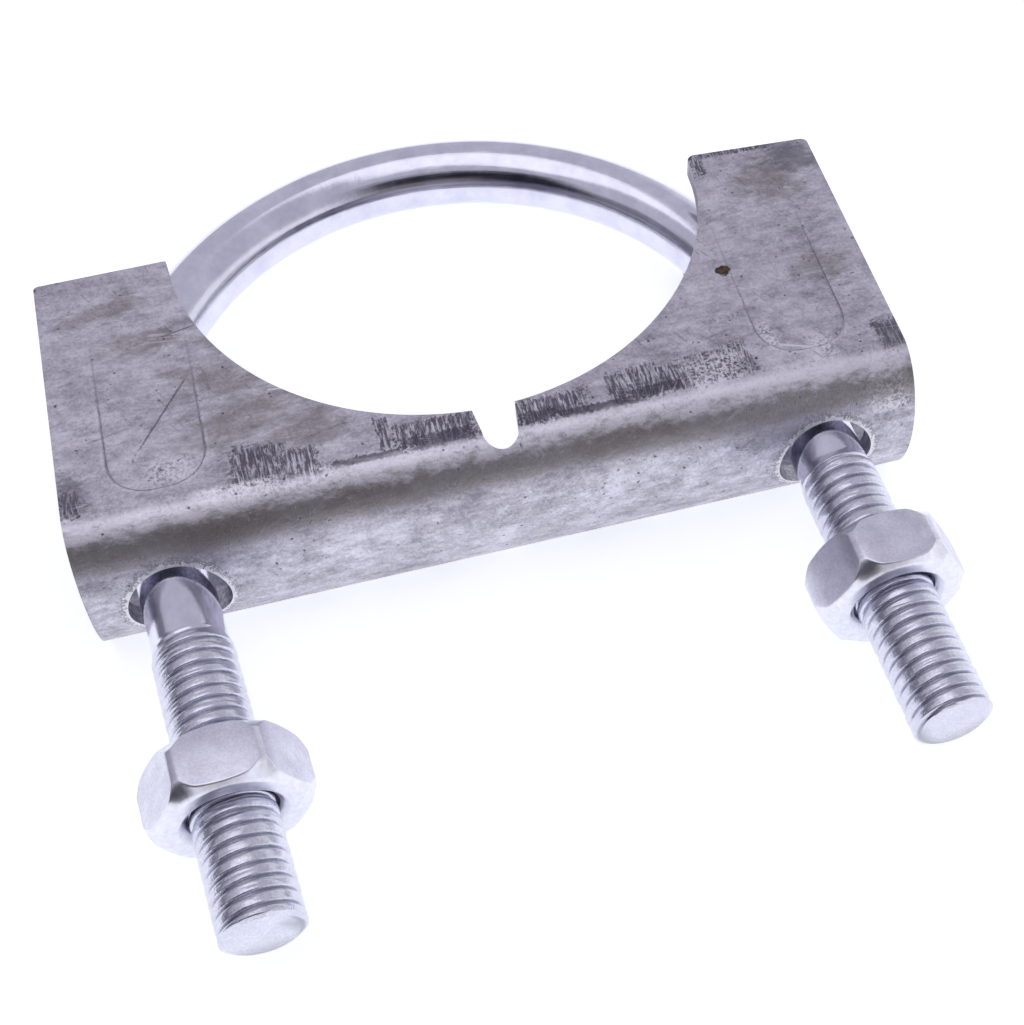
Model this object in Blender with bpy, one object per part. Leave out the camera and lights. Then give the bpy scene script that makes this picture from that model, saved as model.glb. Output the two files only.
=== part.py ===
"""Exhaust clamp: a folded sheet saddle, a U-bolt with two threaded legs, and two hex nuts.

It lies on the back flange of its saddle. X runs along the saddle, Y from the ends of the
legs to the top of the U-bolt's bow, and Z up through both flanges.
"""

import math

import bmesh
import bpy
from mathutils import Matrix, Vector

MM = 0.001

# U-bolt, bent from one rod
ROD_RADIUS = 4.5 * MM
ROLLED_UP = 0.4 * MM
PIPE_RADIUS = 35.0 * MM
BOW_CLEARANCE = 1.64 * MM
LEG_TOE = math.radians(1.2)
BOW_HEIGHT = 22.25 * MM
LEG_LENGTH = 42.75 * MM
THREAD_START = 4.7 * MM
END_CHAMFER = 0.7 * MM
SKEW = math.radians(2.85)
SHIFT = -0.54 * MM

THREAD_RADIUS = ROD_RADIUS + ROLLED_UP
BOW_RADIUS = PIPE_RADIUS + BOW_CLEARANCE + ROD_RADIUS
LEG_SPACING = 2 * (BOW_RADIUS / math.cos(LEG_TOE) - math.tan(LEG_TOE) * BOW_HEIGHT)

# Saddle, folded from one piece of sheet
SHEET = 2.5 * MM
NOSE = 7.1 * MM
HOLE_CLEARANCE = 1.2 * MM
HOLE_OFFSET = -0.65 * MM
HOLE_MARGIN = 2.55 * MM
END_MARGIN = 11.1 * MM
BRIDGE = 9.8 * MM
EAR_DROP = 0.3 * MM
LEFT_EAR_RISE = 0.2 * MM
RIGHT_EAR_RISE = 0.9 * MM
NOTCH_MOUTH = 5.3 * MM
NOTCH_RADIUS = 2.2 * MM
NOTCH_DEPTH = 5.8 * MM
MARK_WIDTH = 11.6 * MM
MARK_OFFSET = 0.6 * MM
MARK_RISE = 1.3 * MM
MARK_LENGTH = 25.6 * MM
MARK_DEPTH = 0.3 * MM

HOLE_RADIUS = THREAD_RADIUS + HOLE_CLEARANCE
SADDLE_DEPTH = 2 * (HOLE_RADIUS + HOLE_MARGIN + SHEET)
SADDLE_LENGTH = LEG_SPACING + 2 * END_MARGIN
PIPE_HEIGHT = BRIDGE + PIPE_RADIUS
EAR_HEIGHT = PIPE_HEIGHT - EAR_DROP

# Nuts
NUT_ACROSS_FLATS = 17.0 * MM
NUT_HEIGHT = 8.0 * MM
NUT_CHAMFER = math.radians(30)
NUT_CORNER_CUT = 0.22 * MM
THREAD_GAP = 0.3 * MM
SINK = 1.15 * MM
LEFT_NUT = 20.6 * MM
RIGHT_NUT = 17.6 * MM
LEFT_NUT_TURN = math.radians(1.8)
RIGHT_NUT_TURN = math.radians(1.3)

BEARING_RADIUS = 0.453 * NUT_ACROSS_FLATS
SINK_RADIUS = THREAD_RADIUS + SINK
MID_PLANE = SADDLE_DEPTH / 2


def clear_scene():
    for obj in list(bpy.data.objects):
        bpy.data.objects.remove(obj)


def link(name, mesh, material=None):
    obj = bpy.data.objects.new(name, mesh)
    bpy.context.scene.collection.objects.link(obj)
    if material:
        mesh.materials.append(material)
    return obj


def metal(name, colour, roughness):
    material = bpy.data.materials.new(name)
    material.use_nodes = True
    shader = material.node_tree.nodes["Principled BSDF"]
    shader.inputs["Base Color"].default_value = (*colour, 1.0)
    shader.inputs["Metallic"].default_value = 1.0
    shader.inputs["Roughness"].default_value = roughness
    return material


def finish(bm, name):
    bmesh.ops.recalc_face_normals(bm, faces=bm.faces)
    mesh = bpy.data.meshes.new(name)
    bm.to_mesh(mesh)
    bm.free()
    return mesh


def prism(bm, outline, low, high):
    """Extrude a closed XY outline from height low(point) to height high."""
    bottom = [bm.verts.new((p.x, p.y, low(p))) for p in outline]
    face = bm.faces.new(bottom)
    raised = bmesh.ops.extrude_face_region(bm, geom=[face])["geom"]
    for vert in raised:
        if isinstance(vert, bmesh.types.BMVert):
            vert.co.z = high


def rounded(corners, steps=6):
    """Turn (x, y, radius) corners into an outline with a fillet at each one that has a radius."""
    outline = []
    count = len(corners)
    for index, (x, y, radius) in enumerate(corners):
        here = Vector((x, y))
        if not radius:
            outline.append(here)
            continue
        before = (Vector(corners[index - 1][:2]) - here).normalized()
        after = (Vector(corners[(index + 1) % count][:2]) - here).normalized()
        half = before.angle(after) / 2
        centre = here + (before + after).normalized() * radius / math.sin(half)
        start = here + before * radius / math.tan(half) - centre
        sweep = start.angle_signed(here + after * radius / math.tan(half) - centre)
        for step in range(steps + 1):
            outline.append(centre + Matrix.Rotation(-sweep * step / steps, 2) @ start)
    return outline


def hide(cutter):
    cutter.hide_render = True
    cutter.display_type = "WIRE"


def boolean(obj, operation, cutter):
    modifier = obj.modifiers.new(cutter.name, "BOOLEAN")
    modifier.operation = operation
    modifier.object = cutter
    hide(cutter)


def turned(bm, profile, segments):
    """Spin a (radius, height) profile that starts and ends on the Y axis into a closed solid."""
    verts = [bm.verts.new((radius, height, 0)) for radius, height in profile]
    edges = [bm.edges.new(pair) for pair in zip(verts, verts[1:])]
    bmesh.ops.spin(
        bm,
        geom=verts + edges,
        cent=(0, 0, 0),
        axis=(0, 1, 0),
        angle=math.tau,
        steps=segments,
        use_merge=True,
    )
    bmesh.ops.remove_doubles(bm, verts=bm.verts, dist=1e-6)


def channel_section(steps=20):
    """Outline of the folded sheet across its length, as (y, z): outer side down, inner side back."""
    outer = []
    inner = []
    for step in range(2 * steps + 1):
        angle = math.pi * step / (2 * steps)
        point = Vector((NOSE - NOSE * math.sin(angle), MID_PLANE * math.cos(angle)))
        normal = Vector((-math.sin(angle) / NOSE, math.cos(angle) / MID_PLANE)).normalized()
        outer.append(point)
        inner.append(point - SHEET * normal)
    top = EAR_HEIGHT + 5 * MM
    flange = MID_PLANE - SHEET
    outer = [Vector((top, MID_PLANE))] + outer + [Vector((top, -MID_PLANE))]
    inner = [Vector((top, flange))] + inner + [Vector((top, -flange))]
    return outer + inner[::-1]


def saddle_stencil():
    """Front outline of the blank: square ends, the two ears, the pipe's arc and the notch."""
    end = SADDLE_LENGTH / 2
    right_top = EAR_HEIGHT + RIGHT_EAR_RISE
    left_top = EAR_HEIGHT + LEFT_EAR_RISE
    pipe = Vector((0, PIPE_HEIGHT))
    mouth = math.asin(NOTCH_MOUTH / 2 / PIPE_RADIUS)
    right_start = math.asin((right_top - PIPE_HEIGHT) / PIPE_RADIUS)
    left_end = -math.pi - math.asin((left_top - PIPE_HEIGHT) / PIPE_RADIUS)

    def arc(first, last, steps):
        for step in range(steps + 1):
            angle = first + (last - first) * step / steps
            yield pipe + PIPE_RADIUS * Vector((math.cos(angle), math.sin(angle)))

    notch_centre = BRIDGE - NOTCH_DEPTH + NOTCH_RADIUS
    right_arc = list(arc(right_start, mouth - math.pi / 2, 30))
    left_arc = list(arc(-math.pi / 2 - mouth, left_end, 30))
    notch = [
        Vector((NOTCH_RADIUS * math.cos(a), notch_centre - NOTCH_RADIUS * math.sin(a)))
        for a in (math.pi * step / 16 for step in range(17))
    ]
    corners = [
        (-end, -5 * MM, 0),
        (end, -5 * MM, 0),
        (end, EAR_HEIGHT, 0.9 * MM),
        (*right_arc[0], 1.1 * MM),
        *((p.x, p.y, 0) for p in right_arc[2:] + notch + left_arc[:-1]),
        (*left_arc[-1], 0.35 * MM),
        (-end, EAR_HEIGHT, 0.6 * MM),
    ]
    return rounded(corners)


def make_saddle(material):
    bm = bmesh.new()
    face = bm.faces.new(
        [bm.verts.new((-SADDLE_LENGTH, p.x, p.y)) for p in channel_section()]
    )
    raised = bmesh.ops.extrude_face_region(bm, geom=[face])["geom"]
    moved = [v for v in raised if isinstance(v, bmesh.types.BMVert)]
    bmesh.ops.translate(bm, verts=moved, vec=(2 * SADDLE_LENGTH, 0, 0))
    saddle = link("saddle", finish(bm, "saddle"), material)

    bm = bmesh.new()
    prism(bm, saddle_stencil(), lambda p: -SADDLE_DEPTH, SADDLE_DEPTH)
    boolean(saddle, "INTERSECT", link("saddle_stencil", finish(bm, "saddle_stencil")))

    bm = bmesh.new()
    for side in (-1, 1):
        bmesh.ops.create_cone(
            bm,
            cap_ends=True,
            segments=64,
            radius1=HOLE_RADIUS,
            radius2=HOLE_RADIUS,
            depth=2 * (NOSE + SHEET),
            matrix=Matrix.Translation((side * LEG_SPACING / 2 + SHIFT, 0, HOLE_OFFSET))
            @ Matrix.Rotation(math.pi / 2, 4, "X"),
        )
    boolean(saddle, "DIFFERENCE", link("leg_holes", finish(bm, "leg_holes")))

    # The dies leave a slot-shaped mark in line with each leg. It fades out towards the ear's top.
    bm = bmesh.new()
    bottom = NOSE + MARK_RISE
    top = bottom + 1.2 * MARK_LENGTH
    half = MARK_WIDTH / 2
    floor = MID_PLANE - MARK_DEPTH
    slope = MARK_DEPTH / MARK_LENGTH
    for side in (-1, 1):
        x = side * (LEG_SPACING / 2 - MARK_OFFSET)
        outline = rounded(
            [
                (x - half, bottom, 0.85 * half),
                (x + half, bottom, 0.85 * half),
                (x + half, top, 0),
                (x - half, top, 0),
            ]
        )
        prism(bm, outline, lambda p: floor + slope * (p.y - bottom), MID_PLANE + MM)
    boolean(saddle, "DIFFERENCE", link("ear_marks", finish(bm, "ear_marks")))
    return saddle


def leg_point(side, y):
    """Centre of a leg at height y, in the U-bolt's own frame. The legs close in towards their ends."""
    return Vector((side * (LEG_SPACING / 2 + math.tan(LEG_TOE) * y), y, 0))


def push(bm, face, target, radius):
    """Extrude the rod's end face to the centre target and give it a new radius."""
    centre = face.calc_center_median()
    old = (face.verts[0].co - centre).length
    around = [*face.verts, *face.edges]
    raised = bmesh.ops.extrude_face_region(bm, geom=[face, *around])["geom"]
    new = next(g for g in raised if isinstance(g, bmesh.types.BMFace))
    bmesh.ops.translate(bm, verts=new.verts[:], vec=target - centre)
    factor = radius / old
    bmesh.ops.scale(
        bm,
        vec=(factor, factor, factor),
        space=Matrix.Translation(-target),
        verts=new.verts[:],
    )
    return new


def make_u_bolt(material):
    bow_start = BOW_HEIGHT - BOW_RADIUS * math.sin(LEG_TOE)
    stations = [
        (-LEG_LENGTH + END_CHAMFER, THREAD_RADIUS),
        (-THREAD_START - 2 * ROLLED_UP, THREAD_RADIUS),
        (-THREAD_START, ROD_RADIUS),
        (bow_start, ROD_RADIUS),
    ]
    end_radius = THREAD_RADIUS - END_CHAMFER
    bm = bmesh.new()
    start = leg_point(-1, -LEG_LENGTH)
    bmesh.ops.create_circle(
        bm,
        cap_ends=True,
        segments=40,
        radius=end_radius,
        matrix=Matrix.Translation(start)
        @ Matrix.Rotation(LEG_TOE, 4, "Z")
        @ Matrix.Rotation(-math.pi / 2, 4, "X"),
    )
    bm.faces.ensure_lookup_table()
    face = bm.faces[0]
    for y, radius in stations:
        face = push(bm, face, leg_point(-1, y), radius)
    bow = bmesh.ops.spin(
        bm,
        geom=face.verts[:] + face.edges[:] + [face],
        cent=(0, BOW_HEIGHT, 0),
        axis=(0, 0, 1),
        angle=-(math.pi + 2 * LEG_TOE),
        steps=48,
    )
    face = next(g for g in bow["geom_last"] if isinstance(g, bmesh.types.BMFace))
    for y, radius in stations[-2::-1]:
        face = push(bm, face, leg_point(1, y), radius)
    push(bm, face, leg_point(1, -LEG_LENGTH), end_radius)
    mesh = finish(bm, "u_bolt")
    mesh.shade_smooth()
    mesh.set_sharp_from_angle(angle=math.radians(30))
    return link("u_bolt", mesh, material)


def make_nut_mesh(material):
    """One nut about its own Y axis: a hexagon trimmed by a turned barrel, and bored."""
    half = NUT_HEIGHT / 2
    corner = NUT_ACROSS_FLATS / math.sqrt(3)
    bm = bmesh.new()
    bmesh.ops.create_cone(
        bm,
        cap_ends=True,
        segments=6,
        radius1=corner,
        radius2=corner,
        depth=NUT_HEIGHT,
        matrix=Matrix.Rotation(math.pi / 2, 4, "X") @ Matrix.Rotation(math.pi / 6, 4, "Z"),
    )
    blank = link("nut_blank", finish(bm, "nut_blank"))

    wide = corner - NUT_CORNER_CUT
    drop = (wide - BEARING_RADIUS) * math.tan(NUT_CHAMFER)
    bm = bmesh.new()
    turned(
        bm,
        [
            (0, half),
            (BEARING_RADIUS, half),
            (wide, half - drop),
            (wide, drop - half),
            (BEARING_RADIUS, -half),
            (0, -half),
        ],
        60,
    )
    boolean(blank, "INTERSECT", link("nut_barrel", finish(bm, "nut_barrel")))

    bore = THREAD_RADIUS + THREAD_GAP
    sink = SINK_RADIUS - bore
    bm = bmesh.new()
    turned(
        bm,
        [
            (0, half + MM),
            (SINK_RADIUS + MM, half + MM),
            (bore, half - sink),
            (bore, sink - half),
            (SINK_RADIUS + MM, -half - MM),
            (0, -half - MM),
        ],
        48,
    )
    boolean(blank, "DIFFERENCE", link("nut_bore", finish(bm, "nut_bore")))

    bpy.context.view_layer.update()
    graph = bpy.context.evaluated_depsgraph_get()
    mesh = bpy.data.meshes.new_from_object(blank.evaluated_get(graph))
    mesh.name = "nut"
    mesh.materials.clear()
    mesh.materials.append(material)
    mesh.shade_smooth()
    mesh.set_sharp_from_angle(angle=math.radians(25))
    for name in ("nut_blank", "nut_barrel", "nut_bore"):
        bpy.data.objects.remove(bpy.data.objects[name])
    return mesh


def place_nut(name, mesh, u_bolt, side, height, turn):
    """Put a nut on its leg, with its top face the given distance below the saddle's web."""
    nut = link(name, mesh)
    nut.parent = u_bolt
    nut.location = leg_point(side, -height - NUT_HEIGHT / 2)
    lean = Matrix.Rotation(-side * LEG_TOE, 4, "Z")
    nut.rotation_euler = (lean @ Matrix.Rotation(turn, 4, "Y")).to_euler()
    return nut


def stand_on_origin(root, pieces):
    """Move the root so that the middle of the clamp's bounding box base is the origin."""
    bpy.context.view_layer.update()
    graph = bpy.context.evaluated_depsgraph_get()
    points = []
    for piece in pieces:
        evaluated = piece.evaluated_get(graph)
        mesh = evaluated.to_mesh()
        points += [evaluated.matrix_world @ vert.co for vert in mesh.vertices]
        evaluated.to_mesh_clear()
    low = [min(p[axis] for p in points) for axis in range(3)]
    high = [max(p[axis] for p in points) for axis in range(3)]
    root.location -= Vector(((low[0] + high[0]) / 2, (low[1] + high[1]) / 2, low[2]))
    bpy.context.view_layer.update()


clear_scene()

sheet_steel = metal("zinc-plated sheet steel", (0.50, 0.49, 0.54), 0.5)
rod_steel = metal("bright zinc-plated rod steel", (0.66, 0.67, 0.70), 0.25)
nut_steel = metal("zinc-plated nut steel", (0.70, 0.70, 0.76), 0.38)

root = bpy.data.objects.new("clamp", None)
bpy.context.scene.collection.objects.link(root)

saddle = make_saddle(sheet_steel)
for helper in ("saddle_stencil", "leg_holes", "ear_marks"):
    bpy.data.objects[helper].parent = root
saddle.parent = root

u_bolt = make_u_bolt(rod_steel)
u_bolt.parent = root
u_bolt.location = (SHIFT, 0, 0)
u_bolt.rotation_euler = (0, 0, SKEW)

nut_mesh = make_nut_mesh(nut_steel)
nut_left = place_nut("nut_left", nut_mesh, u_bolt, -1, LEFT_NUT, LEFT_NUT_TURN)
nut_right = place_nut("nut_right", nut_mesh, u_bolt, 1, RIGHT_NUT, RIGHT_NUT_TURN)

stand_on_origin(root, [saddle, u_bolt, nut_left, nut_right])
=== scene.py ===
"""Exhaust clamp, dressed: worn zinc-plated saddle, bright U-bolt with rolled threads, two nuts."""

import math

import bmesh
import bpy
import numpy as np
from mathutils import Matrix, Vector


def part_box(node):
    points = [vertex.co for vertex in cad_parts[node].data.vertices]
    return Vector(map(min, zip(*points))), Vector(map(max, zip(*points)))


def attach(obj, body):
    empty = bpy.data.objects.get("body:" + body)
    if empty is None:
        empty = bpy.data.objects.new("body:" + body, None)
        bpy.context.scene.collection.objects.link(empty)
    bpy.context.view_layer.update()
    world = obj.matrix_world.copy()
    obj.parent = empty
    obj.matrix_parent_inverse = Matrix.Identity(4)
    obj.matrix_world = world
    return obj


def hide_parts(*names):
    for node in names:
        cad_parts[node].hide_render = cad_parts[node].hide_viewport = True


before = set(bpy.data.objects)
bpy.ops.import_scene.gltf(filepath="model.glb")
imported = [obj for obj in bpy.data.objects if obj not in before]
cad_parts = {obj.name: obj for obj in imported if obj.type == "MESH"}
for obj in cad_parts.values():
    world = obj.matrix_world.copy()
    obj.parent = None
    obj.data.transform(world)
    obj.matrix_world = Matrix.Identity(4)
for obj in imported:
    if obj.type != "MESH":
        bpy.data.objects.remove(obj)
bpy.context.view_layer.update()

# Saddle
# Stamped from sheet steel, folded over the web, and zinc-plated after that. The dies, the shipping
# box and the press left it dull, scraped along the bend and stained, with one speck of rust.

MM = 0.001
low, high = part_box("saddle")
WEB = low[1]
MID_PLANE = (low[2] + high[2]) / 2
HOLE_X = 40.685 * MM
SHIFT = -0.54 * MM
HOLE_Z = -0.65 * MM
HOLE_RADIUS = 6.1 * MM
BROKEN_EDGE = 0.16 * MM
NOSE_TOP = 3.9 * MM
MARK_FLOOR = 10.7 * MM

# Only the blank's sheared edges and the punched holes are broken. The marks keep their own edges.
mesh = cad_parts["saddle"].data.copy()
mesh.transform(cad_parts["saddle"].matrix_world)
bm = bmesh.new()
bm.from_mesh(mesh)
bmesh.ops.remove_doubles(bm, verts=bm.verts, dist=2e-6)
bmesh.ops.dissolve_limit(
    bm,
    angle_limit=math.radians(0.8),
    verts=bm.verts,
    edges=bm.edges,
    use_dissolve_boundaries=False,
)
for face in bm.faces:
    x, y, z = face.calc_center_median()
    to_hole = math.hypot(abs(x - SHIFT) - HOLE_X, z - MID_PLANE - HOLE_Z)
    across = abs(face.normal.z) < 0.01 and y - WEB > NOSE_TOP
    punched = to_hole < HOLE_RADIUS + 0.1 * MM and abs(face.normal.y) < 0.3
    face.material_index = int(across or punched or abs(face.normal.x) > 0.3)
    face.smooth = True
sharp = [e for e in bm.edges if e.is_manifold and e.calc_face_angle() > math.radians(50)]
ledge = MID_PLANE + MARK_FLOOR
rim = [e for e in sharp if not all(ledge < v.co.z < high[2] - 1e-6 for v in e.verts)]
rim = [e for e in rim if len({f.material_index for f in e.link_faces}) == 2]
bmesh.ops.bevel(
    bm,
    geom=rim,
    offset=BROKEN_EDGE,
    segments=2,
    affect="EDGES",
    profile=0.6,
    clamp_overlap=True,
)
mesh = bpy.data.meshes.new("clamp_saddle")
bm.to_mesh(mesh)
bm.free()
mesh.set_sharp_from_angle(angle=math.radians(35))
saddle = bpy.data.objects.new("clamp_saddle", mesh)
bpy.context.scene.collection.objects.link(saddle)

# The flanges keep their flat shading right up to the bends.
flat = saddle.modifiers.new("flat flanges", "WEIGHTED_NORMAL")
flat.keep_sharp = True
flat.weight = 100
graph = bpy.context.evaluated_depsgraph_get()
mesh = bpy.data.meshes.new_from_object(saddle.evaluated_get(graph))
mesh.name = "clamp_saddle_shaded"
saddle.modifiers.clear()
saddle.data = mesh


def srgb(code):
    """A hex colour as linear RGBA."""
    parts = (int(code[i : i + 2], 16) / 255 for i in (1, 3, 5))
    return (*(c / 12.92 if c < 0.04045 else ((c + 0.055) / 1.055) ** 2.4 for c in parts), 1.0)


def add(kind, inputs=(), **settings):
    """Add a node to the current tree; its inputs go by name or number, or in the sockets' order."""
    node = tree.nodes.new(kind)
    for name, value in settings.items():
        setattr(node, name, value)
    for key, value in inputs.items() if isinstance(inputs, dict) else enumerate(inputs):
        if isinstance(value, bpy.types.NodeSocket):
            tree.links.new(value, node.inputs[key])
        else:
            node.inputs[key].default_value = value
    return next((output for output in node.outputs if output.enabled), None)


def new_material(name):
    """A material with only its Principled shader, and that material's node tree."""
    material = bpy.data.materials.new(name)
    material.use_nodes = True
    return material, material.node_tree, material.node_tree.nodes["Principled BSDF"]


# Zinc-plated mild steel sheet, rolled: the plating is matt, mottled and slightly violet.
sheet, tree, shader = new_material("zinc-plated rolled sheet steel")
place = add("ShaderNodeTexCoord").node.outputs["Object"]
to_mid = (0, -1000 * WEB, -1000 * MID_PLANE)
mm = add("ShaderNodeMapping", (place, to_mid, (0, 0, 0), (1000, 1000, 1000)))
x_mm, y_mm, z_mm = add("ShaderNodeSeparateXYZ", (mm,)).node.outputs
front = add("ShaderNodeMapRange", (z_mm, 4.5, 5.5))

# Clouds 8 mm across, blotches 1.5 mm, grain 0.4 mm, specks 0.15 mm, and rolling streaks 1 mm wide
cloud = add("ShaderNodeTexNoise", {"Vector": mm, "Scale": 0.13, "Detail": 4, "Roughness": 0.6})
wide = add("ShaderNodeMapping", {"Vector": mm, "Scale": (0.5, 0.9, 0.9)})
blotch = add("ShaderNodeTexNoise", {"Vector": wide, "Scale": 0.75, "Detail": 4, "Roughness": 0.68})
grain = add("ShaderNodeTexNoise", {"Vector": mm, "Scale": 2.4, "Detail": 3, "Roughness": 0.7})
speck = add("ShaderNodeTexNoise", {"Vector": mm, "Scale": 6.5, "Detail": 2, "Roughness": 0.6})
rolled = add("ShaderNodeMapping", {"Vector": mm, "Scale": (0.16, 1.0, 1.0)})
streaks = add("ShaderNodeTexNoise", {"Vector": rolled, "Scale": 1.0, "Detail": 4, "Roughness": 0.6})
tone = cloud
for layer, share in ((blotch, 1.35), (grain, 0.85), (speck, 0.5), (streaks, 0.4)):
    tone = add("ShaderNodeMath", (layer, share, tone), operation="MULTIPLY_ADD")
tone = add("ShaderNodeMapRange", (tone, 1.7, 2.4))
colour = add("ShaderNodeMix", {0: tone, 6: srgb("#9f9ca7"), 7: srgb("#dcd9e6")}, data_type="RGBA")


def patch(x, y, width, height, turn=0.0, ragged=0.35, soft=0.3, rounded=False):
    """Mask of one scuff or stain in mm, rectangular or rounded, with a torn outline."""
    size = (width / 2, height / 2, 10000)
    local = add(
        "ShaderNodeMapping",
        (mm, (x, y, 0), (0, 0, math.radians(turn)), size),
        vector_type="TEXTURE",
    )
    if rounded:
        reach = add("ShaderNodeVectorMath", (local,), operation="LENGTH").node.outputs["Value"]
    else:
        sides = add("ShaderNodeVectorMath", (local,), operation="ABSOLUTE")
        sides = add("ShaderNodeSeparateXYZ", (sides,)).node.outputs
        reach = add("ShaderNodeMath", (sides[0], sides[1]), operation="MAXIMUM")
    torn = blotch if rounded else grain
    edge = add("ShaderNodeMath", (torn, ragged * 2, reach), operation="MULTIPLY_ADD")
    ends = (edge, 1 + soft / 2 + ragged, 1 - soft / 2 + ragged)
    return add("ShaderNodeMapRange", ends, interpolation_type="SMOOTHSTEP")


def union(masks):
    """The strongest of several masks, kept to the front of the saddle."""
    total = masks[0]
    for mask in masks[1:]:
        total = add("ShaderNodeMath", (total, mask), operation="MAXIMUM")
    return add("ShaderNodeMath", (total, front), operation="MULTIPLY")


def lay(code, share, mask):
    """The colour so far with another laid over it, at a share of a mask."""
    cover = add("ShaderNodeMath", (mask, share), operation="MULTIPLY")
    return add("ShaderNodeMix", {0: cover, 6: colour, 7: srgb(code)}, data_type="RGBA")


# Brownish handling stains with soft edges, mostly on the left ear: x, y, width, height, angle
stained = union(
    [
        patch(x, y, width, height, turn, 1.1, 1.1, True)
        for x, y, width, height, turn in (
            (-31, 23, 13, 5, -15),
            (-29, 16.5, 14, 6, 20),
            (-22.5, 12.5, 9, 5, 0),
            (-40, 31.5, 13, 3, 0),
            (-29, 28, 9, 3, -30),
            (-44, 38, 10, 3, 10),
            (15.5, 3.6, 12, 3.0, 0),
            (-34, 3.0, 12, 3, 0),
            (-17, 3.8, 12, 3, 0),
            (44, 38, 9, 7, 0),
            (46, 22, 7, 4, 0),
        )
    ]
)
fleck = add("ShaderNodeMapRange", (grain, 0.35, 0.6, 0.1, 1.0))
stained = add("ShaderNodeMath", (stained, fleck), operation="MULTIPLY")
colour = lay("#88817a", 0.7, stained)

# Scrapes from the folding die: dark and bright strokes 0.3 mm apart across the bend line
across = add("ShaderNodeMapping", {"Vector": mm, "Scale": (3.2, 0.45, 0.45)})
strokes = add(
    "ShaderNodeTexNoise",
    {"Vector": across, "Scale": 1.0, "Detail": 3, "Roughness": 0.7, "Distortion": 0.5},
)
scraped = union(
    [
        patch(x, y, width, height, turn, ragged)
        for x, y, width, height, turn, ragged in (
            (-28.8, 8.0, 6.4, 7.2, -8, 0.5),
            (-24.0, 7.2, 4.5, 5.0, 0, 0.9),
            (-7.6, 8.2, 10.0, 3.6, 0, 0.6),
            (-13.6, 9.2, 1.6, 4.6, 0, 0.7),
            (6.6, 7.9, 9.0, 3.8, 0, 0.6),
            (15.2, 8.4, 2.6, 5.0, 0, 0.6),
            (18.6, 8.8, 4.0, 5.0, 0, 0.6),
            (22.0, 8.3, 5.0, 4.2, 0, 0.7),
            (26.0, 9.0, 5.0, 4.4, 0, 0.8),
            (30.4, 9.0, 4.2, 5.2, 10, 0.5),
            (50.3, 7.9, 3.4, 5.0, 0, 0.8),
            (-50.6, 8.6, 2.4, 3.8, 0, 0.9),
            (40.5, 44.7, 11.0, 0.9, -2, 1.0),
            (36.0, 43.4, 1.6, 3.8, 0, 1.0),
        )
    ]
)
dark = add("ShaderNodeMapRange", (strokes, 0.40, 0.54))
dark = add("ShaderNodeMath", (dark, scraped), operation="MULTIPLY")
bright = add("ShaderNodeMapRange", (strokes, 0.44, 0.36))
bright = add("ShaderNodeMath", (bright, scraped), operation="MULTIPLY")
colour = lay("#524e5c", 0.85, dark)
colour = lay("#dddbe6", 0.4, bright)

# The same die smeared the zinc to a dark, crumbly line where each scrape meets the bend
smeared = union(
    [
        patch(x, y, width, height, turn, 0.9, 0.5)
        for x, y, width, height, turn in (
            (-7.4, 6.8, 9.0, 2.2, 0),
            (-16.0, 6.2, 9.0, 0.9, 0),
            (4.8, 6.9, 4.4, 1.9, 0),
            (12.6, 6.4, 13.0, 1.1, 0),
            (19.2, 7.2, 7.4, 1.5, 4),
        )
    ]
)
colour = lay("#4f4b59", 0.75, smeared)

# Dulled: the right ear's top corner and the bend's two ends. Pale painted highlight: the strip
# above the bend
dulled = union(
    [
        patch(48.6, 41.5, 7, 6.5, 0, 0.9, 0.9, True),
        patch(50.6, 6.0, 4.2, 10, 0, 0.9, 0.9, True),
        patch(-50.2, 9.5, 3, 6, 0, 0.9, 0.9, True),
    ]
)
colour = lay("#6f6c77", 0.55, dulled)
# A painted highlight, laid along the strip above the bend
above = add("ShaderNodeMath", (blotch, 2.4, y_mm), operation="MULTIPLY_ADD")
pale = add("ShaderNodeMapRange", (above, 7.3, 6.5))
below = add("ShaderNodeMapRange", (above, 4.1, 4.9))
pale = add("ShaderNodeMath", (pale, below), operation="MULTIPLY")
pale = add("ShaderNodeMath", (pale, front), operation="MULTIPLY")
colour = lay("#f0edf8", 0.6, pale)

# Rubbed, crumbly bright spots: by the bend, at the ends and in the foot of each mark
rubbed = union(
    [
        patch(x, y, width, height, turn, 0.9, 0.8)
        for x, y, width, height, turn in (
            (-38.8, 10.8, 6.0, 3.8, 0),
            (27.6, 8.4, 8.0, 5.0, 8),
            (0, 4.7, 92, 1.6, 0),
            (48.5, 3.0, 6.0, 6.0, 0),
            (41.4, 8.4, 3.4, 4.4, 0),
            (35.6, 11.8, 1.8, 5.6, 10),
            (-31.5, 5.6, 10, 2.2, 0),
        )
    ]
)
crumbs = add("ShaderNodeMapRange", (grain, 0.45, 0.55))
rubbed = add("ShaderNodeMath", (rubbed, crumbs), operation="MULTIPLY")
colour = lay("#eae7f1", 0.8, rubbed)
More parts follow.
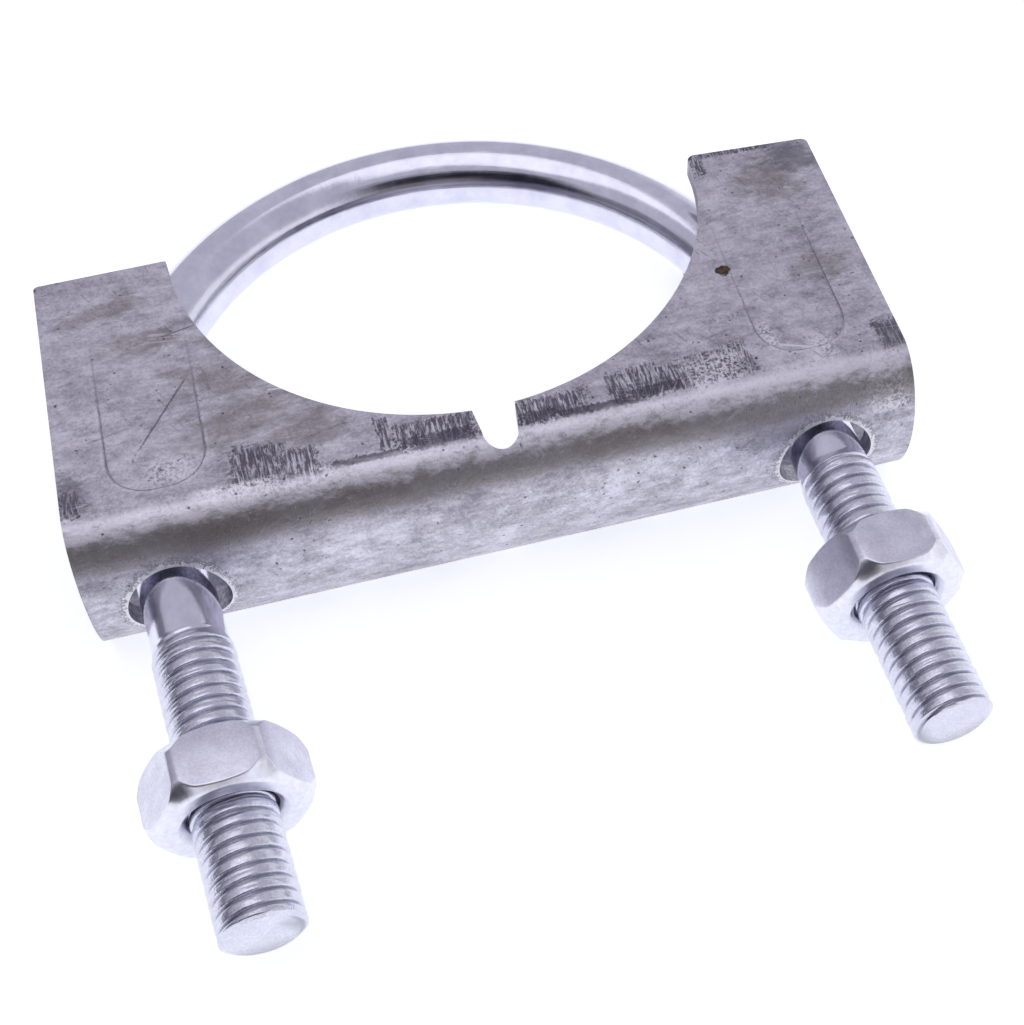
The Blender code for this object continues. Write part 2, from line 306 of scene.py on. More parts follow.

# The dies pressed a slot-shaped mark into each ear. A dark line of painted shade runs along its
# step, and a bright line of painted highlight along the lip round it.
# Its sizes are in mm, as the pattern's coordinates are.
MARK_X = 40.085
MARK_HALF = 5.8
MARK_FOOT = 8.4
MARK_ROUND = 4.93
MARK_TOP = 32.0
mark_x = add("ShaderNodeMath", (x_mm,), operation="ABSOLUTE")
mark_x = add("ShaderNodeMath", (mark_x, MARK_X), operation="SUBTRACT")
mark_x = add("ShaderNodeMath", (mark_x,), operation="ABSOLUTE")
mark_x = add("ShaderNodeMath", (mark_x, MARK_HALF - MARK_ROUND), operation="SUBTRACT")
mark_x = add("ShaderNodeMath", (mark_x, 0.0), operation="MAXIMUM")
mark_y = add("ShaderNodeMath", (MARK_FOOT + MARK_ROUND, y_mm), operation="SUBTRACT")
mark_y = add("ShaderNodeMath", (mark_y, 0.0), operation="MAXIMUM")
corner = add("ShaderNodeCombineXYZ", (mark_x, mark_y))
from_mark = add("ShaderNodeVectorMath", (corner,), operation="LENGTH").node.outputs["Value"]
from_mark = add("ShaderNodeMath", (blotch, 0.5, from_mark), operation="MULTIPLY_ADD")
from_mark = add("ShaderNodeMath", (from_mark, MARK_ROUND + 0.25), operation="SUBTRACT")
fading = add("ShaderNodeMapRange", (y_mm, MARK_TOP, 12, 0.2, 1.0))
worn = add("ShaderNodeMapRange", (blotch, 0.4, 0.58, 0.3, 1.0))
fading = add("ShaderNodeMath", (fading, worn), operation="MULTIPLY")
top = add("ShaderNodeMapRange", (y_mm, MARK_TOP + 1, MARK_TOP - 1))
fading = add("ShaderNodeMath", (fading, top), operation="MULTIPLY")
outer = add("ShaderNodeMapRange", (x_mm, 46, 41, 0.2, 1.0))
fading = add("ShaderNodeMath", (fading, outer), operation="MULTIPLY")
fading = add("ShaderNodeMath", (fading, front), operation="MULTIPLY")
# Painted shade on the mark's step and a painted highlight on its lip; the step also dips in the
# bump
mark_step_and_shade = add("ShaderNodeMath", (from_mark,), operation="ABSOLUTE")
mark_step_and_shade = add("ShaderNodeMapRange", (mark_step_and_shade, 0.2, 0.06))
mark_step_and_shade = add("ShaderNodeMath", (mark_step_and_shade, fading), operation="MULTIPLY")
mark_lip_highlight = add("ShaderNodeMath", (from_mark, 0.35), operation="SUBTRACT")
mark_lip_highlight = add("ShaderNodeMath", (mark_lip_highlight,), operation="ABSOLUTE")
mark_lip_highlight = add("ShaderNodeMapRange", (mark_lip_highlight, 0.25, 0.08))
mark_lip_highlight = add("ShaderNodeMath", (mark_lip_highlight, fading), operation="MULTIPLY")
colour = lay("#dfdde9", 0.45, mark_lip_highlight)
colour = lay("#5d5965", 0.7, mark_step_and_shade)


def scores(turn, reach, width, gate):
    """Long thin scores at an angle: the contour lines of a noise stretched along them."""
    turned = add("ShaderNodeMapping", {"Vector": mm, "Rotation": (0, 0, math.radians(turn))})
    drawn = add("ShaderNodeMapping", {"Vector": turned, "Scale": (reach, 0.9, 0.9)})
    line = add("ShaderNodeTexNoise", {"Vector": drawn, "Scale": 1.0, "Detail": 1})
    line = add("ShaderNodeMath", (line, 0.5), operation="SUBTRACT")
    line = add("ShaderNodeMath", (line,), operation="ABSOLUTE")
    line = add("ShaderNodeMapRange", (line, width, width / 3))
    here = add("ShaderNodeTexNoise", {"Vector": turned, "Scale": 0.22, "Detail": 2})
    here = add("ShaderNodeMapRange", (here, gate, gate + 0.05))
    return add("ShaderNodeMath", (line, here), operation="MULTIPLY")


# Fine scores all over, dark where they hold dirt and bright where they are fresh
colour = lay("#5b5763", 0.35, scores(62, 0.05, 0.010, 0.54))
colour = lay("#5b5763", 0.35, scores(-12, 0.05, 0.008, 0.52))
colour = lay("#e6e4ef", 0.4, scores(8, 0.05, 0.008, 0.53))
colour = lay("#e6e4ef", 0.35, scores(115, 0.07, 0.008, 0.56))

# Single scratches: x, y, width, height, angle
dirty_cuts = union(
    [
        patch(-38.6, 19.5, 0.26, 11.5, -35, 0.8),
        patch(-31.5, 33.0, 12, 0.2, 12, 0.8),
    ]
)
fresh_cuts = union(
    [
        patch(29.3, 3.0, 4.2, 0.22, 20, 0.2),
        patch(30.4, 3.3, 3.0, 0.2, 24, 0.2),
        patch(-24.6, 19.6, 2.4, 0.25, -6, 0.1),
        patch(38.5, 9.4, 4.0, 0.3, -20, 0.5),
    ]
)
colour = lay("#4e4a55", 0.6, dirty_cuts)
colour = lay("#e6e4ef", 0.9, fresh_cuts)

# Dark pits 0.2 to 0.5 mm wide, in clusters
pits = add("ShaderNodeTexVoronoi", {"Vector": mm, "Scale": 0.85, "Randomness": 1.0})
pits = add("ShaderNodeMath", (grain, 0.75, pits), operation="MULTIPLY_ADD")
pits = add("ShaderNodeMapRange", (pits, 0.52, 0.42))
clusters = add("ShaderNodeTexNoise", {"Vector": mm, "Scale": 0.3, "Detail": 2})
clusters = add("ShaderNodeMapRange", (clusters, 0.44, 0.56))
pitted = add("ShaderNodeMath", (pits, clusters), operation="MULTIPLY")
colour = lay("#45424c", 0.8, pitted)

# Painted shade: a darker brownish band with torn edges along the front bend
height = add("ShaderNodeMath", (blotch, 6.0, z_mm), operation="MULTIPLY_ADD")
upper = add("ShaderNodeMapRange", (height, 13.2, 12.2))
lower = add("ShaderNodeMapRange", (height, 9.4, 10.4))
bend_shade_band = add("ShaderNodeMath", (upper, lower), operation="MULTIPLY")
colour = lay("#8c8681", 0.55, bend_shade_band)

# A crumbly burr stands round each leg hole and is raised in the bump. Its bright ring is a painted
# highlight, and the darker ring just outside it a painted shadow
from_hole = add("ShaderNodeMath", (x_mm, 1000 * SHIFT), operation="SUBTRACT")
from_hole = add("ShaderNodeMath", (from_hole,), operation="ABSOLUTE")
from_hole = add("ShaderNodeCombineXYZ", {0: from_hole, 2: z_mm})
middle = (1000 * HOLE_X, 0, 1000 * HOLE_Z)
from_hole = add("ShaderNodeVectorMath", (from_hole, middle), operation="DISTANCE")
from_hole = from_hole.node.outputs["Value"]
from_hole = add("ShaderNodeMath", (grain, 3.2, from_hole), operation="MULTIPLY_ADD")
burr_and_highlight = add("ShaderNodeMapRange", (from_hole, 8.35, 8.05))
shadow = add("ShaderNodeMapRange", (from_hole, 8.75, 8.4))
colour = lay("#65626d", 0.5, shadow)
colour = lay("#f1f0f6", 0.85, burr_and_highlight)

# One speck of rust near the right edge of the cut-out, darkest in the middle
rust = union([patch(33.3, 23.7, 1.9, 1.7, 0, 1.0, 0.3, True)])
colour = lay("#5a483b", 1.0, rust)
core = add("ShaderNodeMapRange", (grain, 0.52, 0.46))
core = add("ShaderNodeMath", (core, rust), operation="MULTIPLY")
colour = lay("#382e29", 0.9, core)
metal_share = add("ShaderNodeMath", (1.0, rust), operation="SUBTRACT")

# The bump leaves the patches out: it works its height out three times, and with them the shader
# runs out of space and the sheet turns black.
rough = add("ShaderNodeMapRange", (tone, 0.0, 1.0, 0.52, 0.40))
rough = add("ShaderNodeMath", (rust, 0.4, rough), operation="MULTIPLY_ADD")
relief = grain
for layer, share in ((pitted, -0.8), (mark_step_and_shade, -0.8), (burr_and_highlight, 1.2), (speck, 0.5), (blotch, 1.2)):
    relief = add("ShaderNodeMath", (layer, share, relief), operation="MULTIPLY_ADD")
bump = add("ShaderNodeBump", {"Height": relief, "Strength": 0.7, "Distance": 0.05 * MM})
tree.links.new(colour, shader.inputs["Base Color"])
tree.links.new(metal_share, shader.inputs["Metallic"])
tree.links.new(rough, shader.inputs["Roughness"])
tree.links.new(bump, shader.inputs["Normal"])
mesh.materials.append(sheet)

# Sheared edge of the same steel: torn, with strokes 0.4 mm apart across the thickness
cut, tree, shader = new_material("zinc-plated sheared steel edge")
place = add("ShaderNodeTexCoord").node.outputs["Object"]
torn = add("ShaderNodeMapping", {"Vector": place, "Scale": (2500, 2500, 300)})
torn = add("ShaderNodeTexNoise", {"Vector": torn, "Scale": 1.0, "Detail": 3, "Roughness": 0.6})
share = add("ShaderNodeMapRange", (torn, 0.35, 0.65))
ends = {0: share, 6: srgb("#96939f"), 7: srgb("#d0cdd9")}
edge_colour = add("ShaderNodeMix", ends, data_type="RGBA")
bump = add("ShaderNodeBump", {"Height": torn, "Strength": 0.4, "Distance": 0.08 * MM})
shader.inputs["Metallic"].default_value = 1.0
shader.inputs["Roughness"].default_value = 0.42
tree.links.new(edge_colour, shader.inputs["Base Color"])
tree.links.new(bump, shader.inputs["Normal"])
mesh.materials.append(cut)

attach(saddle, "saddle")
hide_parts("saddle")

# U-bolt
# Drawn steel rod with a thread rolled on both ends, bent round a former and bright zinc-plated.
# Rolling raises the crests above the rod, and leaves them wide, rounded and a little uneven.

ROD_RADIUS = 4.49 * MM
CREST_RADIUS = 4.88 * MM
ROOT_RADIUS = 4.36 * MM
UNEVEN = 0.6 * MM
PITCH = 1.64 * MM
RUN_OUT = 2.2 * MM
ROW_STEP = 0.075 * MM
END_SLOPE = 1.8
TOE = math.radians(1.2)
BOW_RADIUS = 41.14 * MM
BOW_HEIGHT = 22.25 * MM
LEG_LENGTH = 42.75 * MM
THREAD_START = 4.7 * MM
SKEW = math.radians(2.85)
END_RADIUS = 4.15 * MM

HALF_SPACING = BOW_RADIUS / math.cos(TOE) - math.tan(TOE) * BOW_HEIGHT
bolt_frame = Matrix.Translation((SHIFT, WEB, MID_PLANE)) @ Matrix.Rotation(SKEW, 4, "Z")


def leg_point(side, y):
    """Centre of a leg at height y, in the U-bolt's own frame."""
    return Vector((side * (HALF_SPACING + math.tan(TOE) * y), y, 0))


bend = BOW_HEIGHT - BOW_RADIUS * math.sin(TOE)
rows = [
    *np.arange(-LEG_LENGTH, -THREAD_START + 1.0 * MM, ROW_STEP),
    *np.linspace(-THREAD_START + 1.2 * MM, bend, 16),
]
path = [leg_point(-1, y) for y in rows]
for angle in np.linspace(math.pi + TOE, -TOE, 121)[1:-1]:
    x, y = BOW_RADIUS * math.cos(angle), BOW_HEIGHT + BOW_RADIUS * math.sin(angle)
    path.append(Vector((x, y, 0)))
path += [leg_point(1, y) for y in reversed(rows)]
line = bpy.data.curves.new("rod_centre", "CURVE")
line.dimensions = "3D"
spline = line.splines.new("POLY")
spline.points.add(len(path) - 1)
for point, place in zip(spline.points, path):
    point.co = (*place, 1)
centre_line = bpy.data.objects.new("rod_centre", line)
bpy.context.scene.collection.objects.link(centre_line)

# The tree sweeps a circle along the centre line, then sets the radius from the distance to the
# nearer end and from the thread's turn at that point.
tree = bpy.data.node_groups.new("rolled rod", "GeometryNodeTree")
sockets = {}
for name, kind in (
    ("Centre Line", "NodeSocketObject"),
    ("Rod Radius", "NodeSocketFloat"),
    ("Crest Radius", "NodeSocketFloat"),
    ("Root Radius", "NodeSocketFloat"),
    ("Unevenness", "NodeSocketFloat"),
    ("Pitch", "NodeSocketFloat"),
    ("Thread Length", "NodeSocketFloat"),
    ("End Radius", "NodeSocketFloat"),
    ("Sides", "NodeSocketInt"),
    ("Finish", "NodeSocketMaterial"),
):
    sockets[name] = tree.interface.new_socket(name, in_out="INPUT", socket_type=kind)
tree.interface.new_socket("Geometry", in_out="OUTPUT", socket_type="NodeSocketGeometry")
given = tree.nodes.new("NodeGroupInput").outputs
swept = add("GeometryNodeObjectInfo", {"Object": given["Centre Line"]}).node.outputs["Geometry"]
length = add("GeometryNodeSplineParameter").node.outputs["Length"]
total = add("GeometryNodeSplineLength").node.outputs["Length"]
position = add("GeometryNodeInputPosition")
for name, kind, value in (
    ("run", "FLOAT", length),
    ("whole", "FLOAT", total),
    ("centre", "FLOAT_VECTOR", position),
):
    kept = {"Geometry": swept, "Name": name, "Value": value}
    swept = add("GeometryNodeStoreNamedAttribute", kept, data_type=kind)
circle = add("GeometryNodeCurvePrimitiveCircle", {"Resolution": given["Sides"], "Radius": 0.001})
ring = add(
    "GeometryNodeStoreNamedAttribute",
    {"Geometry": circle, "Name": "ring", "Value": position},
    data_type="FLOAT_VECTOR",
)
tube = add("GeometryNodeCurveToMesh", {"Curve": swept, "Profile Curve": ring, "Fill Caps": True})
run = add("GeometryNodeInputNamedAttribute", {"Name": "run"}, data_type="FLOAT")
whole = add("GeometryNodeInputNamedAttribute", {"Name": "whole"}, data_type="FLOAT")
centre = add("GeometryNodeInputNamedAttribute", {"Name": "centre"}, data_type="FLOAT_VECTOR")
ring_at = add("GeometryNodeInputNamedAttribute", {"Name": "ring"}, data_type="FLOAT_VECTOR")
other_end = add("ShaderNodeMath", (whole, run), operation="SUBTRACT")
to_end = add("ShaderNodeMath", (run, other_end), operation="MINIMUM")
ring_axes = add("ShaderNodeSeparateXYZ", (ring_at,)).node.outputs
turn = add("ShaderNodeMath", (ring_axes[1], ring_axes[0]), operation="ARCTAN2")
turn = add("ShaderNodeMath", (turn, math.tau), operation="DIVIDE")
turns = add("ShaderNodeMath", (run, given["Pitch"]), operation="DIVIDE")
phase = add("ShaderNodeMath", (turns, turn), operation="SUBTRACT")
phase = add("ShaderNodeMath", (phase,), operation="FRACT")
form = add("ShaderNodeFloatCurve", {"Value": phase})
points = form.node.mapping.curves[0].points
rise = ((0.08, 0.1), (0.17, 0.88), (0.27, 0.98), (0.5, 1.0))
fall = ((0.73, 0.98), (0.83, 0.88), (0.92, 0.1))
for x, y in rise + fall:
    points.new(x, y)
points[0].location = (0.0, 0.0)
points[-1].location = (1.0, 0.0)
form.node.mapping.update()
depth = add("ShaderNodeMath", (given["Crest Radius"], given["Root Radius"]), operation="SUBTRACT")
threaded = add("ShaderNodeMath", (form, depth, given["Root Radius"]), operation="MULTIPLY_ADD")
# The noise dips by about a quarter at most, so the crests lose up to a quarter of Unevenness.
lumps = add("ShaderNodeTexNoise", {"Vector": position, "Scale": 1100, "Detail": 2})
lumps = add("ShaderNodeMath", (lumps, 0.5), operation="SUBTRACT")
lumps = add("ShaderNodeMath", (lumps, 0.0), operation="MINIMUM")
threaded = add("ShaderNodeMath", (lumps, given["Unevenness"], threaded), operation="MULTIPLY_ADD")
fade = add("ShaderNodeMath", (given["Thread Length"], to_end), operation="SUBTRACT")
fade = add("ShaderNodeMapRange", (fade, 0.0, RUN_OUT), interpolation_type="SMOOTHSTEP")
radius = add("ShaderNodeMix", {0: fade, 2: given["Rod Radius"], 3: threaded}, data_type="FLOAT")
blunt = add("ShaderNodeMath", (to_end, END_SLOPE, given["End Radius"]), operation="MULTIPLY_ADD")
radius = add("ShaderNodeMath", (radius, blunt), operation="MINIMUM")
outward = add("ShaderNodeVectorMath", (position, centre), operation="SUBTRACT")
outward = add("ShaderNodeVectorMath", (outward,), operation="NORMALIZE")
offset = add("ShaderNodeVectorMath", {0: outward, "Scale": radius}, operation="SCALE")
place = add("ShaderNodeVectorMath", (centre, offset), operation="ADD")
rod = add("GeometryNodeSetPosition", {"Geometry": tube, "Position": place})
unit = add("ShaderNodeVectorMath", (ring_at,), operation="NORMALIZE")
section = add("ShaderNodeVectorMath", {0: unit, "Scale": radius}, operation="SCALE")
section = add("ShaderNodeSeparateXYZ", (section,)).node.outputs
straight = add("ShaderNodeCombineXYZ", (run, section[0], section[1]))
groove = add("ShaderNodeMath", (1.0, form), operation="SUBTRACT")
groove = add("ShaderNodeMath", (groove, fade), operation="MULTIPLY")
for name, kind, value in (
    ("straight", "FLOAT_VECTOR", straight),
    ("groove", "FLOAT", groove),
    ("threading", "FLOAT", fade),
):
    kept = {"Geometry": rod, "Name": name, "Value": value}
    rod = add("GeometryNodeStoreNamedAttribute", kept, data_type=kind)
rod = add("GeometryNodeRealizeInstances", (rod,))
rod = add("GeometryNodeSetMaterial", {"Geometry": rod, "Material": given["Finish"]})
add("NodeGroupOutput", {"Geometry": rod})
rod_tree = tree

# Bright zinc on drawn rod: glossy, slightly violet, with drawing lines 0.2 mm apart along the rod.
# The threads are duller, greyer and grainy, and their grooves are darkened with painted shade.
plate, tree, shader = new_material("bright zinc-plated drawn steel")
place = add("ShaderNodeAttribute", attribute_name="straight").node.outputs["Vector"]
groove = add("ShaderNodeAttribute", attribute_name="groove").node.outputs["Fac"]
threading = add("ShaderNodeAttribute", attribute_name="threading").node.outputs["Fac"]
drawn = add("ShaderNodeMapping", {"Vector": place, "Scale": (60, 5000, 5000)})
drawn = add("ShaderNodeTexNoise", {"Vector": drawn, "Scale": 1.0, "Detail": 3, "Roughness": 0.6})
blotch = add("ShaderNodeTexNoise", {"Vector": place, "Scale": 260, "Detail": 4, "Roughness": 0.65})
speck = add("ShaderNodeTexNoise", {"Vector": place, "Scale": 2600, "Detail": 3, "Roughness": 0.7})
share = add("ShaderNodeMapRange", (blotch, 0.3, 0.7))
ends = {0: share, 6: srgb("#d2d1e2"), 7: srgb("#e6e6f5")}
rod_colour = add("ShaderNodeMix", ends, data_type="RGBA")
dull = add("ShaderNodeMapRange", (speck, 0.4, 0.62, 0.55, 0.0))
dull = add("ShaderNodeMath", (dull, threading), operation="MULTIPLY")
rod_colour = add("ShaderNodeMix", {0: dull, 6: rod_colour, 7: srgb("#c3c6cf")}, data_type="RGBA")
# Painted shade darkens the thread grooves
groove_shade = add("ShaderNodeMapRange", (groove, 0.45, 1.0, 0.0, 0.75))
rod_colour = add("ShaderNodeMix", {0: groove_shade, 6: rod_colour, 7: srgb("#868b95")}, data_type="RGBA")
rough = add("ShaderNodeMapRange", (blotch, 0.35, 0.65, 0.10, 0.17))
rough = add("ShaderNodeMath", (threading, 0.10, rough), operation="MULTIPLY_ADD")
relief = add("ShaderNodeMath", (drawn, 1.8, speck), operation="MULTIPLY_ADD")
relief = add("ShaderNodeMath", (blotch, 2.5, relief), operation="MULTIPLY_ADD")
coarse = add("ShaderNodeMath", (speck, threading), operation="MULTIPLY")
relief = add("ShaderNodeMath", (coarse, 4.0, relief), operation="MULTIPLY_ADD")
bump = add("ShaderNodeBump", {"Height": relief, "Strength": 0.35, "Distance": 0.02 * MM})
shader.inputs["Metallic"].default_value = 1.0
tree.links.new(rod_colour, shader.inputs["Base Color"])
tree.links.new(rough, shader.inputs["Roughness"])
tree.links.new(bump, shader.inputs["Normal"])

host = bpy.data.objects.new("rod_host", bpy.data.meshes.new("rod_host"))
bpy.context.scene.collection.objects.link(host)
modifier = host.modifiers.new("rolled rod", "NODES")
modifier.node_group = rod_tree
for name, value in (
    ("Centre Line", centre_line),
    ("Rod Radius", ROD_RADIUS),
    ("Crest Radius", CREST_RADIUS),
    ("Root Radius", ROOT_RADIUS),
    ("Unevenness", UNEVEN),
    ("Pitch", PITCH),
    ("Thread Length", (LEG_LENGTH - THREAD_START) / math.cos(TOE)),
    ("End Radius", END_RADIUS),
    ("Sides", 56),
    ("Finish", plate),
):
    modifier[sockets[name].identifier] = value
bpy.context.view_layer.update()
graph = bpy.context.evaluated_depsgraph_get()
mesh = bpy.data.meshes.new_from_object(host.evaluated_get(graph))
mesh.name = "clamp_u_bolt"
for name in ("run", "whole", "centre", "ring"):
    mesh.attributes.remove(mesh.attributes[name])
mesh.transform(bolt_frame)
for spare in (host, centre_line):
    bpy.data.objects.remove(spare)
bm = bmesh.new()
bm.from_mesh(mesh)
bmesh.ops.recalc_face_normals(bm, faces=bm.faces)
bm.to_mesh(mesh)
bm.free()
mesh.shade_smooth()
mesh.set_sharp_from_angle(angle=math.radians(62))
u_bolt = bpy.data.objects.new("clamp_u_bolt", mesh)
bpy.context.scene.collection.objects.link(u_bolt)
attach(u_bolt, "u_bolt")
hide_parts("u_bolt")

# Nuts
# Cold-formed hex nuts, chamfered on both ends by turning, tapped, and zinc-plated. The flats keep
# the satin grain of the forming die and round over at their corners.

ACROSS_FLATS = 17.0 * MM
NUT_HEIGHT = 8.0 * MM
BEARING_RADIUS = 0.453 * ACROSS_FLATS
CHAMFER = math.radians(30)
BORE_RADIUS = 5.2 * MM
SINK_RADIUS = 6.05 * MM
CORNER_CUT = 0.22 * MM
CORNER_SOFT = 0.16 * MM
CORNER_DROP = 0.95 * MM
CORNER_FROM = 2.9 * MM
LEFT_NUT = 20.6 * MM
RIGHT_NUT = 17.6 * MM
LEFT_NUT_TURN = math.radians(1.8)
RIGHT_NUT_TURN = math.radians(1.3)

# Satin zinc on the flats: grain about 0.3 mm, with faint clouds of handling
flats, tree, shader = new_material("satin zinc-plated forged flat")
place = add("ShaderNodeTexCoord").node.outputs["Object"]
grain = add("ShaderNodeTexNoise", {"Vector": place, "Scale": 3200, "Detail": 3, "Roughness": 0.6})
cloud = add("ShaderNodeTexNoise", {"Vector": place, "Scale": 300, "Detail": 4, "Roughness": 0.6})
share = add("ShaderNodeMath", (grain, 0.8, cloud), operation="MULTIPLY_ADD")
share = add("ShaderNodeMapRange", (share, 0.65, 1.15))
ends = {0: share, 6: srgb("#cbc9da"), 7: srgb("#eae9f6")}
flat_colour = add("ShaderNodeMix", ends, data_type="RGBA")
bump = add("ShaderNodeBump", {"Height": grain, "Strength": 0.45, "Distance": 0.03 * MM})
shader.inputs["Metallic"].default_value = 1.0
shader.inputs["Roughness"].default_value = 0.38
tree.links.new(flat_colour, shader.inputs["Base Color"])
tree.links.new(bump, shader.inputs["Normal"])

# Turned faces: rings 0.4 mm apart about the nut's axis, brighter and smoother than the flats
turned, tree, shader = new_material("zinc-plated turned steel")
from_axis = add("ShaderNodeAttribute", attribute_name="from_axis").node.outputs["Fac"]
turning = {"W": from_axis, "Scale": 2500, "Detail": 2}
rings = add("ShaderNodeTexNoise", turning, noise_dimensions="1D")
place = add("ShaderNodeTexCoord").node.outputs["Object"]
spots = add("ShaderNodeTexNoise", {"Vector": place, "Scale": 1500, "Detail": 3, "Roughness": 0.6})
share = add("ShaderNodeMapRange", (spots, 0.3, 0.7))
ends = {0: share, 6: srgb("#dcdce8"), 7: srgb("#edeef8")}
ring_colour = add("ShaderNodeMix", ends, data_type="RGBA")
relief = add("ShaderNodeMath", (spots, 0.3, rings), operation="MULTIPLY_ADD")
bump = add("ShaderNodeBump", {"Height": relief, "Strength": 0.2, "Distance": 0.02 * MM})
shader.inputs["Metallic"].default_value = 1.0
shader.inputs["Roughness"].default_value = 0.3
tree.links.new(ring_colour, shader.inputs["Base Color"])
tree.links.new(bump, shader.inputs["Normal"])


def hexagon():
    """Outline of the hexagon in XZ, a flat facing +Z, with each corner cut to a narrow strip."""
    half = ACROSS_FLATS / 2
    reach = half / math.cos(math.pi / 6) - CORNER_CUT
    split = math.acos(half / reach)
    corners = []
    for flat in range(6):
        middle = flat * math.pi / 3 + math.pi / 6
        for angle in (middle - split, middle + split):
            corners.append(Vector((math.cos(angle), math.sin(angle))) * reach)
    outline = []
    for index, here in enumerate(corners):
        before = (corners[index - 1] - here).normalized()
        after = (corners[(index + 1) % 12] - here).normalized()
        first = here + before * CORNER_SOFT
        last = here + after * CORNER_SOFT
        if outline:
            start = outline[-1]
            steps = 18 if (first - start).length > 3 * MM else 2
            outline += [start.lerp(first, t / steps) for t in range(1, steps)]
        outline += [first, first.lerp(last, 0.5).lerp(here, 0.5), last]
    outline.append(outline[-1].lerp(outline[0], 0.5))
    return outline


def nut_profile(reach):
    """Distance from the axis and height of each ring of the upper half, at an outline point."""
    half = NUT_HEIGHT / 2
    sink = half - (SINK_RADIUS - BORE_RADIUS)
    slope = math.tan(CHAMFER)
    run = reach - BEARING_RADIUS
    full = ACROSS_FLATS / 2 / math.cos(math.pi / 6) - CORNER_CUT
    onset = math.hypot(ACROSS_FLATS / 2, CORNER_FROM)
    corner = max(0.0, (reach - onset) / (full - onset))
    drop = CORNER_DROP * min(1.0, corner) ** 1.2
    edge = half - run * slope - drop
    yield BORE_RADIUS, 0.0
    yield BORE_RADIUS, sink - 0.05 * MM
    yield BORE_RADIUS + 0.04 * MM, sink + 0.03 * MM
    yield SINK_RADIUS - 0.06 * MM, half - 0.08 * MM
    yield SINK_RADIUS + 0.06 * MM, half - 0.01 * MM
    yield SINK_RADIUS + 0.2 * MM, half
    yield BEARING_RADIUS - 0.12 * MM, half
    yield BEARING_RADIUS + 0.05 * MM, half - 0.04 * MM
    for share in (0.3, 0.55, 0.8):
        yield BEARING_RADIUS + share * run, half - share * run * slope - share**2 * drop
    yield reach - 0.12 * MM, edge + 0.12 * MM * slope + 0.12 * drop
    yield reach - 0.03 * MM, edge - 0.02 * MM
    yield reach, edge - 0.16 * MM


def make_nut(name, body, side, height, turn):
    """Build one nut round its leg, at its height below the web, and hand it to its body."""
    rings = []
    for p in hexagon():
        column = list(nut_profile(p.length))
        lower = [(r, -y) for r, y in column[:0:-1]]
        rings.append([(p.normalized() * r, y) for r, y in column + lower])
    bm = bmesh.new()
    verts = [[bm.verts.new((q.x, y, q.y)) for q, y in column] for column in rings]
    count = len(verts[0])
    for i, column in enumerate(verts):
        after = verts[(i + 1) % len(verts)]
        for j in range(count):
            k = (j + 1) % count
            face = bm.faces.new((column[j], column[k], after[k], after[j]))
            face.material_index = 0 if j == count // 2 else 1
            face.smooth = True
    bmesh.ops.recalc_face_normals(bm, faces=bm.faces)
    layer = bm.verts.layers.float.new("from_axis")
    for vert in bm.verts:
        vert[layer] = math.hypot(vert.co.x, vert.co.z)
    mesh = bpy.data.meshes.new(name)
    bm.to_mesh(mesh)
    bm.free()
    lean = Matrix.Rotation(-side * TOE, 4, "Z") @ Matrix.Rotation(turn, 4, "Y")
    spot = Matrix.Translation(leg_point(side, -height - NUT_HEIGHT / 2))
    mesh.transform(bolt_frame @ spot @ lean)
    mesh.set_sharp_from_angle(angle=math.radians(40))
    mesh.materials.append(flats)
    mesh.materials.append(turned)
    nut = bpy.data.objects.new(name, mesh)
    bpy.context.scene.collection.objects.link(nut)
    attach(nut, body)
    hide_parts(body)


make_nut("clamp_nut_left", "nut_left", -1, LEFT_NUT, LEFT_NUT_TURN)
make_nut("clamp_nut_right", "nut_right", 1, RIGHT_NUT, RIGHT_NUT_TURN)

# Studio
# A plain pale floor under the clamp and a softbox above it, inside a plain room that is pale on
# the right, darker on the left and darkest on the camera's side. The bright rod mirrors them all.

bpy.ops.mesh.primitive_plane_add(size=6.0, location=(0, 0, 0))
floor = bpy.context.object
floor.name = "floor"
paper = bpy.data.materials.new("white paper sweep")
paper.use_nodes = True
tree = paper.node_tree
tree.nodes.clear()
rays = add("ShaderNodeLightPath").node.outputs
seen = add("ShaderNodeMath", (rays["Is Camera Ray"], 0.66), operation="MULTIPLY")
seen = add("ShaderNodeMath", (rays["Is Glossy Ray"], 0.70, seen), operation="MULTIPLY_ADD")
matt = add("ShaderNodeBsdfDiffuse", {"Color": srgb("#e9e9ec")})
glow = add("ShaderNodeEmission", {"Color": srgb("#f9fdff"), "Strength": seen})
surface = add("ShaderNodeAddShader", (matt, glow))
add("ShaderNodeOutputMaterial", {"Surface": surface})
floor.data.materials.append(paper)

world = bpy.data.worlds.new("studio")
bpy.context.scene.world = world
world.use_nodes = True
tree = world.node_tree
tree.nodes.clear()
direction = add("ShaderNodeTexCoord").node.outputs["Generated"]
right, back, up = add("ShaderNodeSeparateXYZ", (direction,)).node.outputs
camera_side = add("ShaderNodeMapRange", (back, -0.35, -0.6), interpolation_type="SMOOTHSTEP")
for axis, start, full in ((up, 0.80, 0.62), (right, 0.45, 0.15)):
    share = add("ShaderNodeMapRange", (axis, start, full), interpolation_type="SMOOTHSTEP")
    camera_side = add("ShaderNodeMath", (camera_side, share), operation="MULTIPLY")
warm = add("ShaderNodeMapRange", (up, 0.45, 0.28), interpolation_type="SMOOTHSTEP")
share = add("ShaderNodeMapRange", (right, -0.5, -0.2), interpolation_type="SMOOTHSTEP")
warm = add("ShaderNodeMath", (warm, share), operation="MULTIPLY")
wall = add("ShaderNodeMix", {0: warm, 6: srgb("#26262f"), 7: srgb("#7c7774")}, data_type="RGBA")
near_floor = add("ShaderNodeMapRange", (up, 0.50, 0.36), interpolation_type="SMOOTHSTEP")
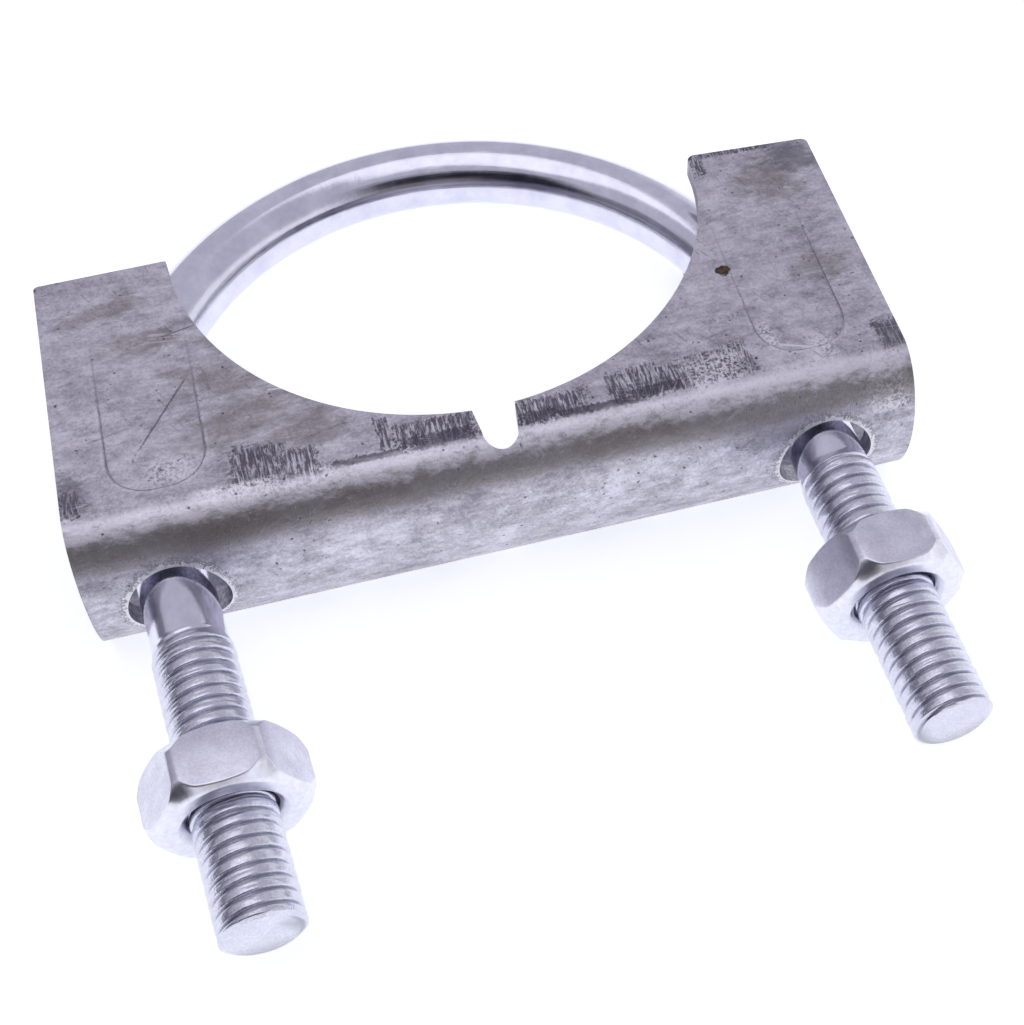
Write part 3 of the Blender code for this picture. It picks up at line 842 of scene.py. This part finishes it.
light_side = add("ShaderNodeMapRange", (right, 0.35, 0.6), interpolation_type="SMOOTHSTEP")
light_side = add("ShaderNodeMath", (near_floor, light_side), operation="MULTIPLY")
dark_side = add("ShaderNodeMapRange", (right, -0.35, -0.6), interpolation_type="SMOOTHSTEP")
dark_side = add("ShaderNodeMath", (near_floor, dark_side), operation="MULTIPLY")
camera_ray = add("ShaderNodeLightPath").node.outputs["Is Camera Ray"]
ends = {0: light_side, 6: srgb("#c4c2cc"), 7: srgb("#f8fafd")}
room = add("ShaderNodeMix", ends, data_type="RGBA")
room = add("ShaderNodeMix", {0: dark_side, 6: room, 7: srgb("#7a7a84")}, data_type="RGBA")
room = add("ShaderNodeMix", {0: camera_side, 6: room, 7: wall}, data_type="RGBA")
room = add("ShaderNodeMix", {0: camera_ray, 6: room, 7: srgb("#ffffff")}, data_type="RGBA")
sky = add("ShaderNodeBackground", {"Color": room, "Strength": 1.0})
add("ShaderNodeOutputWorld", {"Surface": sky})

# The softbox's radiance, which adds to the room behind it
LEVEL = 0.65
light = bpy.data.lights.new("softbox", "AREA")
light.shape = "RECTANGLE"
light.size = 0.60
light.size_y = 0.67
light.energy = LEVEL * math.pi * light.size * light.size_y
lamp = bpy.data.objects.new("softbox", light)
lamp.location = (-0.15, 0.06, 0.8)
bpy.context.scene.collection.objects.link(lamp)

# The camera's place, turn, lens and shift come from a fit to the edges of the photographed clamp.
lens = bpy.data.cameras.new("camera")
lens.lens = 61.906
lens.sensor_width = 36
lens.shift_x = -0.12644
lens.shift_y = 0.01769
lens.clip_start = 0.01
lens.clip_end = 20
camera = bpy.data.objects.new("camera", lens)
camera.location = (-0.02117, -0.12519 + WEB, 0.17594 + MID_PLANE)
turned_by = Vector((2.5032, -0.3483, 0.1206))
to_camera = Matrix.Rotation(turned_by.length, 3, turned_by.normalized())
camera.rotation_euler = (to_camera.transposed() @ Matrix.Diagonal((1, -1, -1))).to_euler()
bpy.context.scene.collection.objects.link(camera)
bpy.context.scene.camera = camera

bpy.context.scene.view_settings.view_transform = "Standard"
